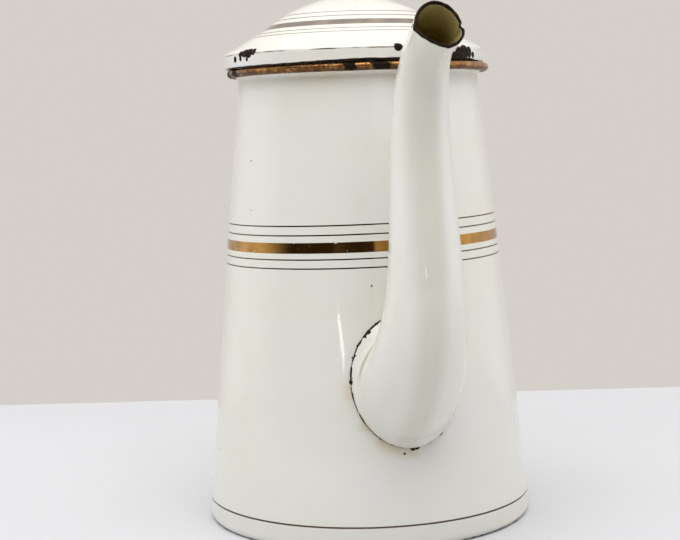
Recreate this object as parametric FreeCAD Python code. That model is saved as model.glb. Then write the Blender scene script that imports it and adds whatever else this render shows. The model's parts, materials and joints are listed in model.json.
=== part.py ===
import FreeCAD, Part
import math
import os

# Tall enamelled coffee pot with a gooseneck spout, a hinged lid and a strap handle.
# Millimetres. +Z is up, and z = 0 is the plane that the foot stands on. The pot's axis is the
# Z axis, the spout points to -Y, the handle and the lid's hinge are at +Y.

# Driving dimensions of the pot
SHEET = 1.2               # enamelled steel sheet, steel and both coats together
FOOT_RADIUS = 72.0        # outside of the foot band
FOOT_BAND_TOP = 10.0      # where the straight band ends and the cone begins
FOOT_CORNER = 3.0         # round between the band and the rest ring
REST_RING_INNER = 66.0    # inner edge of the ring that touches the table
FLOOR_RECESS = 3.0        # the floor is pressed up this far inside the rest ring
WALL_TAPER = 0.1015       # radius lost per millimetre of height
WALL_TOP = 196.5          # where the wall turns out into the rolled rim
RIM_TOP = 200.1
RIM_RADIUS = 58.0         # outside of the rolled rim
RIM_WIRE = 1.1            # radius of the wire inside the roll

# Spout. Each station is (distance from the axis, height, climb angle of the tube in degrees,
# depth towards the pot, depth towards the front, half width, squareness of the front half, where
# 2 is round and 1 is a V).
SPOUT_STATIONS = [
    (57.0, 64.0, 14.0, 24.5, 23.5, 21.3, 2.00),
    (68.0, 67.4, 24.0, 23.5, 22.0, 20.9, 1.95),
    (77.0, 73.2, 43.0, 22.3, 20.6, 20.1, 1.90),
    (85.0, 82.5, 59.0, 20.8, 19.8, 18.8, 1.90),
    (90.5, 94.5, 72.0, 19.4, 19.2, 17.1, 1.90),
    (93.6, 110.0, 83.0, 18.0, 18.0, 15.2, 1.85),
    (93.6, 132.0, 92.0, 16.2, 16.2, 13.7, 1.80),
    (92.0, 156.0, 93.0, 14.6, 14.6, 12.3, 1.80),
    (92.6, 176.0, 85.0, 13.2, 13.2, 11.2, 1.75),
    (97.2, 192.5, 66.0, 12.0, 12.2, 10.0, 1.60),
    (107.4, 203.0, 45.0, 11.6, 11.2, 9.0, 1.50),
    (122.4, 208.3, 41.5, 14.5, 9.3, 9.4, 1.62),
]
# The pouring lip is hand-formed: its left corner flares out, and it is a little lopsided.
LIP_FLARE = 0.7           # how far the left corner stands out
LIP_FLARE_SPREAD = 0.2    # how much of the outline, in radians, the corner takes
LIP_LOPSIDED = 0.125      # the left side is this part wider than the mean, the right narrower
ROOT_HEIGHT = 69.3        # middle of the spout's oval root on the wall
ROOT_HALF_HEIGHT = 27.6
ROOT_HALF_WIDTH = 23.3
STRAINER_HOLE = 2.5       # radius of each hole in the wall behind the spout
STRAINER_PITCH = 9.0

# Handle, an open C: (distance from the axis, height, travel angle) along its inner face
HANDLE_STATIONS = [
    (46.0, 165.5, 8.0),
    (66.0, 168.0, 5.0),
    (84.0, 168.0, -10.0),
    (98.0, 161.5, -40.0),
    (105.5, 149.0, -70.0),
    (108.0, 134.0, -86.0),
    (107.0, 118.0, -96.0),
    (103.0, 103.0, -110.0),
    (95.0, 91.0, -130.0),
    (83.5, 83.0, -152.0),
    (72.0, 78.5, -162.0),
    (58.0, 74.5, -165.0),
]
HANDLE_HALF_WIDTH = 10.5
HANDLE_DEPTH = 9.0        # height of the channel over the inner strip
LINER_GAP = 0.02          # weld line between the channel and the strip

# Lid
LID_SIDE_PLAY = -1.9      # the worn hinge lets the lid sit this far to one side
LID_RADIUS = 57.5
LID_BOTTOM = 200.4
LID_SHOULDER = 206.2
LID_DOME = [               # (radius, height) of the dome's outside, from the shoulder inwards
    (55.9, 207.4),
    (52.0, 209.4),
    (47.5, 212.1),
    (43.5, 214.4),
    (39.5, 216.7),
    (35.0, 219.9),
    (30.0, 223.1),
    (24.0, 226.1),
    (16.0, 229.0),
    (8.0, 231.3),
]
LID_TOP = 232.2           # height of the dome on its axis
SKIRT_RADIUS = 49.2       # tube under the lid that keeps it in the mouth
SKIRT_BOTTOM = 190.0

# Hinge of the lid
HINGE_Y = 64.5
HINGE_Z = 203.0
PIN_RADIUS = 1.5
PIN_CLEARANCE = 0.05
KNUCKLE_RADIUS = 3.0
EAR_INNER = 7.6           # half of the space between the two ears
EAR_OUTER = 13.6
LEAF_KNUCKLE = 11.2       # length of the lid's knuckle
LEAF_HALF_WIDTH = 9.0
LEAF_INNER_RADIUS = 39.0  # how far the leaf reaches over the dome
BRACKET_FOOT = (181.0, 194.0)   # from where to where the bracket's foot lies on the wall
BRACKET_SHEET = 1.6
RIVET_RADIUS = 1.5
RIVET_HEAD = 2.8
BRACKET_RIVET_Z = 186.0
BRACKET_RIVET_X = 8.0
LEAF_RIVET_X = 5.0
LEAF_RIVET_AT = 44.0      # distance of the leaf's rivets from the lid's axis

# Knob
KNOB_RADIUS = 12.5
KNOB_CENTRE = 243.5
KNOB_SHEET = 1.0
KNOB_FLATTEN = 0.76       # height of the knob over its width
KNOB_FOOT_RADIUS = 8.0
KNOB_NECK_RADIUS = 4.6
KNOB_STEM = 2.0
KNOB_RIVET_HEAD = 1.4     # thickness of the rivet's head inside the knob
KNOB_RIVET_TAIL = 1.6     # thickness of its tail under the washer
WASHER_RADIUS = 7.0
WASHER_BOTTOM = LID_TOP - SHEET - 3.4

FAR = 400.0               # larger than the whole pot, for cutting tools
Y_AXIS = FreeCAD.Vector(0, 1, 0)
Z_AXIS = FreeCAD.Vector(0, 0, 1)


def vec(x, y, z):
    return FreeCAD.Vector(x, y, z)


def wall_radius(z):
    """Outside of the conical wall at a height."""
    return FOOT_RADIUS - WALL_TAPER * (z - FOOT_BAND_TOP)


def revolved(edges, centre_x=0.0):
    """Solid of revolution about a vertical axis; the outline is in the (radius, height) plane."""
    solid = Part.Face(Part.Wire(edges)).revolve(vec(0, 0, 0), Z_AXIS, 360)
    solid.translate(vec(centre_x, 0, 0))
    return solid


def line(start, end):
    return Part.LineSegment(vec(start[0], 0, start[1]), vec(end[0], 0, end[1])).toShape()


def arc(start, middle, end):
    points = [vec(r, 0, z) for r, z in (start, middle, end)]
    return Part.Arc(*points).toShape()


def corner_arc(centre, radius, from_deg, to_deg):
    """Arc in the (radius, height) plane between two angles about a centre."""
    angles = [math.radians(a) for a in (from_deg, 0.5 * (from_deg + to_deg), to_deg)]
    return arc(*[(centre[0] + radius * math.cos(a), centre[1] + radius * math.sin(a)) for a in angles])


def curve(points):
    spline = Part.BSplineCurve()
    spline.interpolate([vec(r, 0, z) for r, z in points])
    return spline.toShape()


def tube_x(radius, x_from, x_to, y, z):
    return Part.makeCylinder(radius, x_to - x_from, vec(x_from, y, z), vec(1, 0, 0))


def box(x, y, z):
    """Box from three (low, high) pairs."""
    return Part.makeBox(x[1] - x[0], y[1] - y[0], z[1] - z[0], vec(x[0], y[0], z[0]))


def extruded_yz(points, x_from, x_to):
    """Prism with a polygon in the YZ plane."""
    corners = [vec(x_from, y, z) for y, z in points]
    return Part.Face(Part.makePolygon(corners + corners[:1])).extrude(vec(x_to - x_from, 0, 0))


def cone_solid(extra, z_from, z_to):
    """Solid inside the wall's outer surface, grown by extra."""
    low, high = wall_radius(z_from) + extra, wall_radius(z_to) + extra
    return Part.makeCone(low, high, z_to - z_from, vec(0, 0, z_from))


def save(name, shape):
    shape = shape.removeSplitter()
    shape.exportStep("parts/" + name + ".step")
    state = "valid" if shape.isValid() else "not valid"
    print("%-16s %d solids, %s, %.1f mm3" % (name, len(shape.Solids), state, shape.Volume))


# ---------------------------------------------------------------- pot

def strainer_holes():
    """Hexagonal group of holes through the wall, inside the spout's root."""
    holes = []
    row_step = STRAINER_PITCH * math.sin(math.radians(60))
    for row in range(-2, 3):
        count = 5 - abs(row)
        for k in range(count):
            x = STRAINER_PITCH * (k - 0.5 * (count - 1)) * 0.8
            z = ROOT_HEIGHT + row * row_step
            holes.append(Part.makeCylinder(STRAINER_HOLE, 60, vec(x, -50, z), vec(0, -1, 0)))
    return holes


def bracket_rivet_pins():
    shanks = []
    for side in (-1, 1):
        x = side * BRACKET_RIVET_X
        shanks.append(Part.makeCylinder(RIVET_RADIUS, 12, vec(x, 46, BRACKET_RIVET_Z), Y_AXIS))
    return shanks


def body_wall():
    wall = cone_solid(0, FOOT_BAND_TOP, WALL_TOP).cut(cone_solid(-SHEET, FOOT_BAND_TOP, WALL_TOP))
    return wall.cut(strainer_holes() + bracket_rivet_pins())


def base_pan():
    """Pressed pan: foot band, round corner, rest ring and a raised floor, all one sheet."""
    out, inn = FOOT_RADIUS, FOOT_RADIUS - SHEET
    corner = (out - FOOT_CORNER, FOOT_CORNER)
    floor_top = FLOOR_RECESS + SHEET
    slope_top = REST_RING_INNER - FLOOR_RECESS + 0.6
    edges = [
        line((out, FOOT_BAND_TOP), (out, FOOT_CORNER)),
        corner_arc(corner, FOOT_CORNER, 0, -90),
        line((corner[0], 0), (REST_RING_INNER, 0)),
        line((REST_RING_INNER, 0), (REST_RING_INNER - FLOOR_RECESS, FLOOR_RECESS)),
        line((REST_RING_INNER - FLOOR_RECESS, FLOOR_RECESS), (0, FLOOR_RECESS)),
        line((0, FLOOR_RECESS), (0, floor_top)),
        line((0, floor_top), (slope_top, floor_top)),
        line((slope_top, floor_top), (REST_RING_INNER + 0.6, SHEET)),
        line((REST_RING_INNER + 0.6, SHEET), (corner[0], SHEET)),
        corner_arc(corner, FOOT_CORNER - SHEET, -90, 0),
        line((inn, FOOT_CORNER), (inn, FOOT_BAND_TOP)),
        line((inn, FOOT_BAND_TOP), (out, FOOT_BAND_TOP)),
    ]
    return revolved(edges)


def rim_wire_centre():
    return (RIM_RADIUS - 0.5 * (RIM_TOP - WALL_TOP), 0.5 * (RIM_TOP + WALL_TOP))


def rim_bead():
    """Edge of the sheet rolled outward over the wire, a flattened ring round the mouth."""
    half = 0.5 * (RIM_TOP - WALL_TOP)
    middle = WALL_TOP + half
    outer = RIM_RADIUS - half
    inner = wall_radius(WALL_TOP) - SHEET + half
    edges = [
        line((inner, WALL_TOP), (outer, WALL_TOP)),
        corner_arc((outer, middle), half, -90, 90),
        line((outer, RIM_TOP), (inner, RIM_TOP)),
        corner_arc((inner, middle), half, 90, 180),
        line((inner - half, middle), (inner - half, WALL_TOP)),
        line((inner - half, WALL_TOP), (inner, WALL_TOP)),
    ]
    return revolved(edges).cut(rim_wire())


def rim_wire():
    radius, height = rim_wire_centre()
    return Part.makeTorus(radius, RIM_WIRE, vec(0, 0, height), Z_AXIS)


# ---------------------------------------------------------------- spout

def spout_half_outline(station, shrink, side):
    """Half of the tube's section, from the front (positive depth) round to the back."""
    back, front, half_width = [size - shrink for size in station[3:6]]
    is_lip = station[2:] == SPOUT_STATIONS[-1][2:]
    flare = LIP_FLARE if is_lip and side < 0 else 0.0
    lopsided = side * LIP_LOPSIDED if is_lip else 0.0
    points = []
    steps = 14
    for k in range(steps + 1):
        turn = math.pi * k / steps
        in_front = turn < 0.5 * math.pi
        power = 2.0 / station[6] if in_front else 1.0
        across = half_width * abs(math.sin(turn)) ** power
        across += flare * math.exp(-((turn - 0.5 * math.pi) / LIP_FLARE_SPREAD) ** 2)
        across = across * (1.0 - lopsided * math.sin(turn) ** 2) if 0 < k < steps else 0.0
        along = front * math.cos(turn) ** power if in_front else back * math.cos(turn)
        points.append((across, along))
    return points


def spout_section(station, shrink, side):
    """Closed half section as a wire, square to the tube at this station."""
    reach, height, climb = station[:3]
    angle = math.radians(climb)
    front = (math.sin(angle), -math.cos(angle))
    outline = spout_half_outline(station, shrink, side)
    points = [vec(side * a, -(reach + d * front[0]), height + d * front[1]) for a, d in outline]
    rim = Part.BSplineCurve()
    rim.interpolate(points)
    return Part.Wire([rim.toShape(), Part.LineSegment(points[-1], points[0]).toShape()])


def spout_core(shrink, side):
    """Half of the tube as a solid; the hollow inside it runs on past the mouth."""
    stations = list(SPOUT_STATIONS)
    if shrink:
        reach, height, climb = stations[-1][:3]
        angle = math.radians(climb)
        beyond = (reach + 4 * math.cos(angle), height + 4 * math.sin(angle))
        stations.append(beyond + stations[-1][2:])
    return Part.makeLoft([spout_section(s, shrink, side) for s in stations], True, False)


def root_flange(side):
    """Edge of the spout turned out flat on the wall, with an oval outline."""
    oval = Part.Ellipse(vec(0, 0, 0), ROOT_HALF_HEIGHT, ROOT_HALF_WIDTH).toShape()
    plate = Part.Face(Part.Wire([oval])).extrude(vec(0, 0, FAR))
    plate.rotate(vec(0, 0, 0), vec(0, 1, 0), 90)
    plate.rotate(vec(0, 0, 0), Z_AXIS, -90)
    plate.translate(vec(0, 0, ROOT_HEIGHT))
    low, high = ROOT_HEIGHT - 40, ROOT_HEIGHT + 40
    skin = cone_solid(SHEET, low, high)
    half_space = box((0, FAR) if side > 0 else (-FAR, 0), (-FAR, 0), (0, FAR))
    return plate.common(skin).common(half_space)


def spout_half(side):
    shell = spout_core(0, side).fuse(root_flange(side)).cut(spout_core(SHEET, side))
    return shell.cut(cone_solid(0, FOOT_BAND_TOP, WALL_TOP))


# ---------------------------------------------------------------- handle

def handle_section(station, outline):
    distance, height, travel = station
    angle = math.radians(travel)
    outward = (-math.sin(angle), math.cos(angle))
    points = [vec(a, distance + d * outward[0], height + d * outward[1]) for a, d in outline]
    return points


def channel_wire(station, shrink):
    """Half-round channel section over the inner strip; shrink gives the hollow, open below."""
    half = HANDLE_HALF_WIDTH - shrink
    depth = HANDLE_DEPTH - shrink
    steps = 10
    outline = []
    for k in range(steps + 1):
        turn = math.pi * k / steps
        outline.append((half * math.cos(turn), depth * math.sin(turn) ** 0.8 if 0 < k < steps else 0.0))
    if shrink:
        outline = [(half, -shrink)] + outline + [(-half, -shrink)]
    points = handle_section(station, outline)
    rim = Part.BSplineCurve()
    rim.interpolate(points)
    return Part.Wire([rim.toShape(), Part.LineSegment(points[-1], points[0]).toShape()])


def strip_wire(station):
    half = HANDLE_HALF_WIDTH
    top, bottom = -LINER_GAP, -LINER_GAP - SHEET
    outline = [(-half, top), (-half + 1.0, bottom), (half - 1.0, bottom), (half, top)]
    points = handle_section(station, outline)
    return Part.makePolygon(points + points[:1])


def inside_pot():
    return cone_solid(0, FOOT_BAND_TOP, WALL_TOP)


def handle_shell():
    outer = Part.makeLoft([channel_wire(s, 0) for s in HANDLE_STATIONS], True, False)
    inner = Part.makeLoft([channel_wire(s, SHEET) for s in HANDLE_STATIONS], True, False)
    return outer.cut(inner).cut(inside_pot())


def handle_liner():
    return Part.makeLoft([strip_wire(s) for s in HANDLE_STATIONS], True, False).cut(inside_pot())


# ---------------------------------------------------------------- hinge

def hinge_bracket():
    """Foot curved to the wall, with two ears that carry the pin."""
    low, high = BRACKET_FOOT
    foot_zone = box((-EAR_OUTER, EAR_OUTER), (40, 70), (low, high))
    shape = cone_solid(BRACKET_SHEET, low, high).common(foot_zone)
    inner_edge = [(50, low + 3), (50, high), (58.8, high + 1.6), (61.6, HINGE_Z)]
    outer_edge = [(67.4, HINGE_Z), (64.0, high + 1.5)]
    for x_from, x_to in ((-EAR_OUTER, -EAR_INNER), (EAR_INNER, EAR_OUTER)):
        shape = shape.fuse(extruded_yz(inner_edge + outer_edge, x_from, x_to))
        shape = shape.fuse(tube_x(KNUCKLE_RADIUS, x_from, x_to, HINGE_Y, HINGE_Z))
    shape = shape.cut(inside_pot())
    return shape.cut([tube_x(PIN_RADIUS, -FAR, FAR, HINGE_Y, HINGE_Z)] + bracket_rivet_pins())


def hinge_pin():
    shank = tube_x(PIN_RADIUS, -EAR_OUTER - 1, EAR_OUTER + 1, HINGE_Y, HINGE_Z)
    for side in (-1, 1):
        head = Part.makeCylinder(2.4, 1.0, vec(side * EAR_OUTER, HINGE_Y, HINGE_Z), vec(side, 0, 0))
        shank = shank.fuse(head)
    return shank


def bracket_rivets():
    """Two rivets through the bracket's foot and the wall, with a head on each side."""
    group = []
    for side in (-1, 1):
        x = side * BRACKET_RIVET_X
        surface = math.sqrt(wall_radius(BRACKET_RIVET_Z) ** 2 - x * x)
        inner_face, outer_face = surface - SHEET, surface + BRACKET_SHEET
        start = vec(x, inner_face - 1, BRACKET_RIVET_Z)
        shank = Part.makeCylinder(RIVET_RADIUS, outer_face - inner_face + 2, start, Y_AXIS)
        tail = Part.makeCylinder(RIVET_HEAD, 1.4, start - Y_AXIS * 0.2, Y_AXIS)
        head = Part.makeCone(RIVET_HEAD, 1.6, 1.6, vec(x, outer_face - 0.4, BRACKET_RIVET_Z), Y_AXIS)
        low, high = BRACKET_FOOT
        sheet_zone = cone_solid(BRACKET_SHEET, low, high).cut(cone_solid(-SHEET, low, high))
        heads = tail.fuse(head).cut(sheet_zone)
        group.append(shank.fuse(heads).cut(hinge_bracket()))
    return Part.makeCompound(group)


# ---------------------------------------------------------------- lid

def dome_points(drop):
    return [(r, z - drop) for r, z in LID_DOME]


def lid_profile_solid(grow):
    """Solid under the lid's outer surface, lowered or raised by grow, down to the band's bottom."""
    radius = LID_RADIUS + min(grow, 0.0)
    shoulder = (radius, LID_SHOULDER - 0.8 + grow)
    dome = dome_points(-grow)
    if grow < 0:
        dome[0] = (dome[0][0] + grow, dome[0][1])
    top = (0, LID_TOP + grow)
    edges = [
        line((0, LID_BOTTOM), (radius, LID_BOTTOM)),
        line((radius, LID_BOTTOM), shoulder),
        line(shoulder, dome[0]),
        curve(dome + [top]),
        line(top, (0, LID_BOTTOM)),
    ]
    return revolved(edges, LID_SIDE_PLAY)


def dome_height(radius):
    """Height of the lid's outer surface at a radius, between the outline's points."""
    outline = [(0, LID_TOP)] + LID_DOME[::-1]
    for (r0, z0), (r1, z1) in zip(outline, outline[1:]):
        if r0 <= radius <= r1:
            return z0 + (z1 - z0) * (radius - r0) / (r1 - r0)
    return LID_DOME[0][1]


def leaf_rivet_frames():
    """Centre on the dome and outward normal of each of the leaf's rivets."""
    slope = math.atan2(dome_height(LEAF_RIVET_AT - 4) - dome_height(LEAF_RIVET_AT + 4), 8)
    frames = []
    for side in (-1, 1):
        x = side * LEAF_RIVET_X
        y = math.sqrt(LEAF_RIVET_AT ** 2 - x * x)
        away = vec(x, y, 0).normalize()
        normal = vec(away.x * math.sin(slope), away.y * math.sin(slope), math.cos(slope))
        frames.append((vec(x + LID_SIDE_PLAY, y, dome_height(LEAF_RIVET_AT)), normal))
    return frames


def leaf_rivet_shanks():
    return [Part.makeCylinder(RIVET_RADIUS, 10, centre - normal * 5, normal)
            for centre, normal in leaf_rivet_frames()]


def knob_hole():
    return Part.makeCylinder(KNOB_STEM, 60, vec(LID_SIDE_PLAY, 0, LID_BOTTOM), Z_AXIS)


def lid_shell():
    shell = lid_profile_solid(0).cut(lid_profile_solid(-SHEET))
    return shell.cut([knob_hole()] + leaf_rivet_shanks())


def lid_skirt():
    tall = 30.0
    ring = Part.makeCylinder(SKIRT_RADIUS, tall, vec(LID_SIDE_PLAY, 0, SKIRT_BOTTOM))
    ring = ring.cut(Part.makeCylinder(SKIRT_RADIUS - SHEET, tall, vec(LID_SIDE_PLAY, 0, SKIRT_BOTTOM)))
    below_band = box((-FAR, FAR), (-FAR, FAR), (SKIRT_BOTTOM, LID_BOTTOM))
    under_dome = ring.common(lid_profile_solid(-SHEET))
    return under_dome.fuse(ring.common(below_band))


def lid_leaf():
    """Plate that follows the dome, with an arm over the shoulder and a knuckle on the pin."""
    middle = LID_SIDE_PLAY
    x_range = (middle - LEAF_HALF_WIDTH, middle + LEAF_HALF_WIDTH)
    plate = lid_profile_solid(SHEET).cut(lid_profile_solid(0))
    reach = math.sqrt(LEAF_INNER_RADIUS ** 2 - LEAF_HALF_WIDTH ** 2)
    plate = plate.common(box(x_range, (reach, 55.4), (LID_SHOULDER, LID_TOP)))
    knuckle = (middle - 0.5 * LEAF_KNUCKLE, middle + 0.5 * LEAF_KNUCKLE)
    over = [(52.0, 212.3), (58.0, 208.9), (HINGE_Y, HINGE_Z + KNUCKLE_RADIUS)]
    under = [(HINGE_Y, HINGE_Z + 0.5), (HINGE_Y - KNUCKLE_RADIUS, HINGE_Z + 0.5), (52.0, 208.6)]
    arm = extruded_yz(over + under, *knuckle).cut(lid_profile_solid(0))
    barrel = tube_x(KNUCKLE_RADIUS, knuckle[0], knuckle[1], HINGE_Y, HINGE_Z)
    shape = plate.fuse(arm).fuse(barrel)
    bore = tube_x(PIN_RADIUS + PIN_CLEARANCE, -FAR, FAR, HINGE_Y, HINGE_Z)
    return shape.cut([bore] + leaf_rivet_shanks())


def leaf_rivets():
    group = []
    for centre, normal in leaf_rivet_frames():
        shank = Part.makeCylinder(RIVET_RADIUS, 5.0, centre - normal * 2.2, normal)
        heads = Part.makeCone(RIVET_HEAD, 1.6, 1.6, centre + normal * 0.9, normal)
        tail = Part.makeCylinder(RIVET_HEAD, 1.2, centre - normal * 2.6, normal)
        sheets = lid_profile_solid(SHEET).cut(lid_profile_solid(-SHEET))
        group.append(shank.fuse(heads.fuse(tail).cut(sheets)))
    return Part.makeCompound(group)


# ---------------------------------------------------------------- knob

def knob_outline(inset):
    """Half outline of the flattened ball, from its bottom to its top."""
    across = KNOB_RADIUS - inset
    tall = KNOB_RADIUS * KNOB_FLATTEN - inset
    points = []
    steps = 12
    for k in range(steps + 1):
        turn = math.pi * (k / steps - 0.5)
        reach = across * math.cos(turn) if 0 < k < steps else 0.0
        points.append((reach, KNOB_CENTRE + tall * math.sin(turn)))
    return points


def knob_ball(inset):
    points = knob_outline(inset)
    return revolved([curve(points), line(points[-1], points[0])], LID_SIDE_PLAY)


def knob_part(upper):
    shell = knob_ball(0).cut(knob_ball(KNOB_SHEET))
    z = (KNOB_CENTRE, KNOB_CENTRE + FAR) if upper else (KNOB_CENTRE - FAR, KNOB_CENTRE)
    part = shell.common(box((-FAR, FAR), (-FAR, FAR), z))
    return part if upper else part.cut(knob_hole())


def knob_foot():
    """Flared collar between the dome and the knob."""
    base = LID_TOP - 2.0
    top = KNOB_CENTRE - KNOB_RADIUS * KNOB_FLATTEN + 1.2
    waist = 0.5 * (base + top) + 0.6
    side = curve([(KNOB_FOOT_RADIUS, base), (KNOB_NECK_RADIUS + 0.6, waist), (KNOB_NECK_RADIUS, top)])
    edges = [
        line((KNOB_STEM, base), (KNOB_FOOT_RADIUS, base)),
        side,
        line((KNOB_NECK_RADIUS, top), (KNOB_STEM, top)),
        line((KNOB_STEM, top), (KNOB_STEM, base)),
    ]
    return revolved(edges, LID_SIDE_PLAY).cut([lid_profile_solid(0), knob_ball(0)])


def knob_washer():
    ring = Part.makeCylinder(WASHER_RADIUS, 6.0, vec(LID_SIDE_PLAY, 0, WASHER_BOTTOM))
    return ring.common(lid_profile_solid(-SHEET)).cut(knob_hole())


def knob_rivet():
    """Stem through the washer, dome, collar and the knob's lower half, headed at both ends."""
    ball_floor = KNOB_CENTRE - KNOB_RADIUS * KNOB_FLATTEN + KNOB_SHEET
    tall = ball_floor + KNOB_RIVET_HEAD - WASHER_BOTTOM
    stem = Part.makeCylinder(KNOB_STEM, tall, vec(LID_SIDE_PLAY, 0, WASHER_BOTTOM), Z_AXIS)
    tail_start = vec(LID_SIDE_PLAY, 0, WASHER_BOTTOM - KNOB_RIVET_TAIL)
    tail = Part.makeCone(2.4, 3.8, KNOB_RIVET_TAIL, tail_start, Z_AXIS)
    head = Part.makeCylinder(4.4, KNOB_RIVET_HEAD, vec(LID_SIDE_PLAY, 0, ball_floor), Z_AXIS)
    return stem.fuse(tail).fuse(head.common(knob_ball(KNOB_SHEET)))


def main():
    os.makedirs("parts", exist_ok=True)
    save("body_wall", body_wall())
    save("base_pan", base_pan())
    save("rim_bead", rim_bead())
    save("rim_wire", rim_wire())
    save("spout_right", spout_half(1))
    save("spout_left", spout_half(-1))
    save("handle_shell", handle_shell())
    save("handle_liner", handle_liner())
    save("hinge_bracket", hinge_bracket())
    save("hinge_pin", hinge_pin())
    save("bracket_rivets", bracket_rivets())
    save("lid_shell", lid_shell())
    save("lid_skirt", lid_skirt())
    save("lid_leaf", lid_leaf())
    save("leaf_rivets", leaf_rivets())
    save("knob_cap", knob_part(True))
    save("knob_cup", knob_part(False))
    save("knob_foot", knob_foot())
    save("knob_washer", knob_washer())
    save("knob_rivet", knob_rivet())


main()
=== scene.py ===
import json
import math

import bmesh
import bpy
from mathutils import Matrix, Quaternion, Vector, noise


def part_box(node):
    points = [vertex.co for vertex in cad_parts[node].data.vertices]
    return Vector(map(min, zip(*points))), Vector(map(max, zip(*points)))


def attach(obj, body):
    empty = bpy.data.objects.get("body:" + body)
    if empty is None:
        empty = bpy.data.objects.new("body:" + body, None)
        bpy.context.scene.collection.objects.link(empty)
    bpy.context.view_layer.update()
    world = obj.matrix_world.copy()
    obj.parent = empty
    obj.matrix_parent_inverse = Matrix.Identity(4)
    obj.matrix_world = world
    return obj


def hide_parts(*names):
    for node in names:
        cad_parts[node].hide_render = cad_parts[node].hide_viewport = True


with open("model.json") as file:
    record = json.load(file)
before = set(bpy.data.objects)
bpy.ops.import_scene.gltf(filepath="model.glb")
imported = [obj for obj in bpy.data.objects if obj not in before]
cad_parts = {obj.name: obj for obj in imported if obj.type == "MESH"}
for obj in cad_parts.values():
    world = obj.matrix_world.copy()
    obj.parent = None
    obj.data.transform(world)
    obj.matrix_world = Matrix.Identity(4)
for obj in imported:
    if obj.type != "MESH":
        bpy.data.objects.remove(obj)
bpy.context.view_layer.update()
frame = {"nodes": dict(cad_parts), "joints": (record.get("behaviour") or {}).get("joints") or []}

MM = 0.001


# ---------------------------------------------------------------- sizes, all in millimetres

def box_mm(node):
    low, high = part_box(node)
    return low / MM, high / MM


PAN_LOW, PAN_HIGH = box_mm("base_pan")
WALL_LOW, WALL_HIGH = box_mm("body_wall")
BEAD_LOW, BEAD_HIGH = box_mm("rim_bead")
LID_LOW, LID_HIGH = box_mm("lid_shell")
KNOB_LOW, KNOB_HIGH = box_mm("knob_cup")[0], box_mm("knob_cap")[1]
KNOB_FOOT_LOW, KNOB_FOOT_HIGH = box_mm("knob_foot")
PIVOT = Vector(frame["joints"][0]["pos_m"]) / MM

SHEET = 1.2
FOOT_RADIUS = PAN_HIGH.x
BAND_TOP = PAN_HIGH.z
FOOT_CORNER = 3.0
REST_RING_INNER = 66.0
FLOOR_RECESS = 3.0
WALL_TOP = WALL_HIGH.z
WALL_TAPER = 0.1015
BEAD_RADIUS = BEAD_HIGH.x
BEAD_HALF = 0.5 * (BEAD_HIGH.z - BEAD_LOW.z)
BEAD_MIDDLE = 0.5 * (BEAD_HIGH.z + BEAD_LOW.z)
LID_X = 0.5 * (LID_LOW.x + LID_HIGH.x)
LID_RADIUS = 0.5 * (LID_HIGH.x - LID_LOW.x)
LID_BOTTOM = LID_LOW.z
LID_TOP = LID_HIGH.z
LID_SHOULDER = LID_BOTTOM + 5.8
LID_DOME = [               # (radius, height) of the dome's outside, as the CAD has it
    (55.9, 207.4),
    (52.0, 209.4),
    (47.5, 212.1),
    (43.5, 214.4),
    (39.5, 216.7),
    (35.0, 219.9),
    (30.0, 223.1),
    (24.0, 226.1),
    (16.0, 229.0),
    (8.0, 231.3),
]

# The spout's and the handle's stations, as the CAD has them: distance from the axis, height,
# direction of travel in degrees, and for the spout its depths, half width and squareness.
SPOUT_STATIONS = [
    (57.0, 64.0, 14.0, 24.5, 23.5, 21.3, 2.00),
    (68.0, 67.4, 24.0, 23.5, 22.0, 20.9, 1.95),
    (77.0, 73.2, 43.0, 22.3, 20.6, 20.1, 1.90),
    (85.0, 82.5, 59.0, 20.8, 19.8, 18.8, 1.90),
    (90.5, 94.5, 72.0, 19.4, 19.2, 17.1, 1.90),
    (93.6, 110.0, 83.0, 18.0, 18.0, 15.2, 1.85),
    (93.6, 132.0, 92.0, 16.2, 16.2, 13.7, 1.80),
    (92.0, 156.0, 93.0, 14.6, 14.6, 12.3, 1.80),
    (92.6, 176.0, 85.0, 13.2, 13.2, 11.2, 1.75),
    (97.2, 192.5, 66.0, 12.0, 12.2, 10.0, 1.60),
    (107.4, 203.0, 45.0, 11.6, 11.2, 9.0, 1.50),
    (122.4, 208.3, 41.5, 14.5, 9.3, 9.4, 1.62),
]
LIP_FLARE = 0.7
LIP_FLARE_SPREAD = 0.2
LIP_LOPSIDED = 0.125
LIP_NOTCH = 1.1
LIP_NOTCH_TURN = 1.66
LIP_NOTCH_SPREAD = 0.09
SEAM_RIDGE = 0.28         # the weld down the spout's middle stands this proud
SEAM_RIDGE_SPREAD = 1.1
ROOT_HEIGHT = 69.3
ROOT_HALF_HEIGHT = 27.6
ROOT_HALF_WIDTH = 23.3
STRAINER_HOLE = 2.5
STRAINER_PITCH = 9.0
HANDLE_STATIONS = [
    (46.0, 165.5, 8.0),
    (66.0, 168.0, 5.0),
    (84.0, 168.0, -10.0),
    (98.0, 161.5, -40.0),
    (105.5, 149.0, -70.0),
    (108.0, 134.0, -86.0),
    (107.0, 118.0, -96.0),
    (103.0, 103.0, -110.0),
    (95.0, 91.0, -130.0),
    (83.5, 83.0, -152.0),
    (72.0, 78.5, -162.0),
    (58.0, 74.5, -165.0),
]
HANDLE_HALF_WIDTH = 10.5
HANDLE_DEPTH = 9.0

# Gilt lines: (middle, width). On the body they are heights, on the lid they are radii.
BODY_LINES = [(133.6, 0.55), (129.7, 0.55), (124.5, 4.4), (119.7, 0.55), (116.0, 0.55)]
BODY_LINE_TILT = (0.0129, -0.0035)     # the hand-painted lines run a little out of level
FOOT_LINE = (BAND_TOP, 0.75)
LID_LINES = [(31.0, 0.5), (34.0, 0.5), (38.2, 3.2), (42.8, 0.5), (45.4, 0.5)]


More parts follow.
